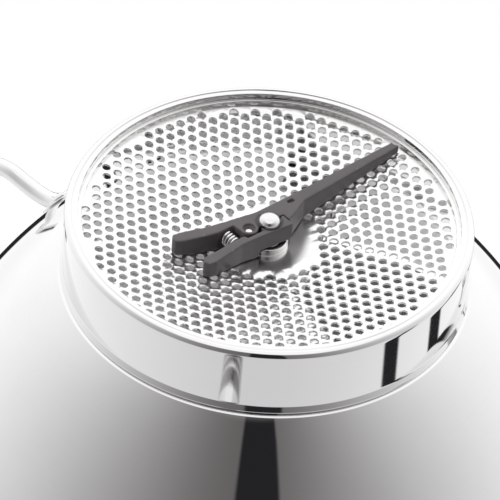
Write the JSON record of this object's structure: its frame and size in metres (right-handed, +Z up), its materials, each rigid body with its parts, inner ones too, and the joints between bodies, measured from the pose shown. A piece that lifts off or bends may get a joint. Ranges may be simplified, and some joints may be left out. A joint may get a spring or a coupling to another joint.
{
  "type": "rotary food mill",
  "caption": "Hand-cranked stainless food mill: flared bowl on a foot ring, perforated disc, pressing blade, underside scraper clip, long handle and pot hooks.",
  "frame": {"origin": "centre of the foot ring, on the plane of the lip it stands on", "axes": "+Z up along the axle, -Y along the long handle, +X to the right seen from the handle"},
  "size_m": [0.2564, 0.4227, 0.1701],
  "materials": {
    "polished_steel": "mirror polished stainless steel",
    "ring_steel": "polished stainless steel",
    "satin_steel": "satin stainless steel",
    "bright_steel": "bright turned steel",
    "rod_steel": "polished rod",
    "handle_steel": "brushed stainless steel",
    "spring_steel": "bright spring wire",
    "clip_plastic": "fine matte dark grey",
    "knob_plastic": "satin black"
  },
  "bodies": {
    "bowl": {"bowl": "polished_steel", "foot_ring": "ring_steel", "sieve_disc": "satin_steel", "disc_bush": "bright_steel", "pot_hook_right": "rod_steel", "pot_hook_left": "rod_steel", "hook_pad_right": "rod_steel", "hook_pad_left": "rod_steel", "handle_pad": "rod_steel", "handle_neck": "rod_steel", "handle_grip": "handle_steel", "handle_end": "rod_steel", "handle_eye": "rod_steel", "bridge_bar": "bright_steel", "bridge_bush": "bright_steel", "bridge_bracket_front": "bright_steel", "bridge_bracket_back": "bright_steel"},
    "crank": {"axle": "bright_steel", "thrust_washer": "bright_steel", "axle_spring": "spring_steel", "blade_hub": "bright_steel", "blade": "satin_steel", "blade_pin": "bright_steel", "axle_ring": "bright_steel", "crank_hub": "bright_steel", "crank_arm": "bright_steel", "knob_pin": "bright_steel", "knob_washer": "bright_steel", "scraper_lever": "clip_plastic", "pivot_pin": "bright_steel", "clip_spring": "spring_steel", "spring_seat": "clip_plastic"},
    "knob": {"knob": "knob_plastic", "knob_cap": "knob_plastic"},
    "release": {"release_lever": "clip_plastic", "release_seat": "clip_plastic"}
  },
  "joints": [
    {"name": "crank_turn", "type": "hinge", "parent": "bowl", "child": "crank", "pos_m": [0, 0, 0.06], "axis": [0, 0, 1], "continuous": true},
    {"name": "knob_spin", "type": "hinge", "parent": "crank", "child": "knob", "pos_m": [-0.07976, -0.03719, 0.14], "axis": [0, 0, 1], "continuous": true},
    {"name": "release_squeeze", "type": "hinge", "parent": "crank", "child": "release", "pos_m": [0.00551, -0.00499, 0.007], "axis": [0, 0, 1], "range_deg": [0, 12], "stiffness_Nm_per_rad": 0.4, "springref_deg": -20.05, "deforming": ["clip_spring"]}
  ]
}
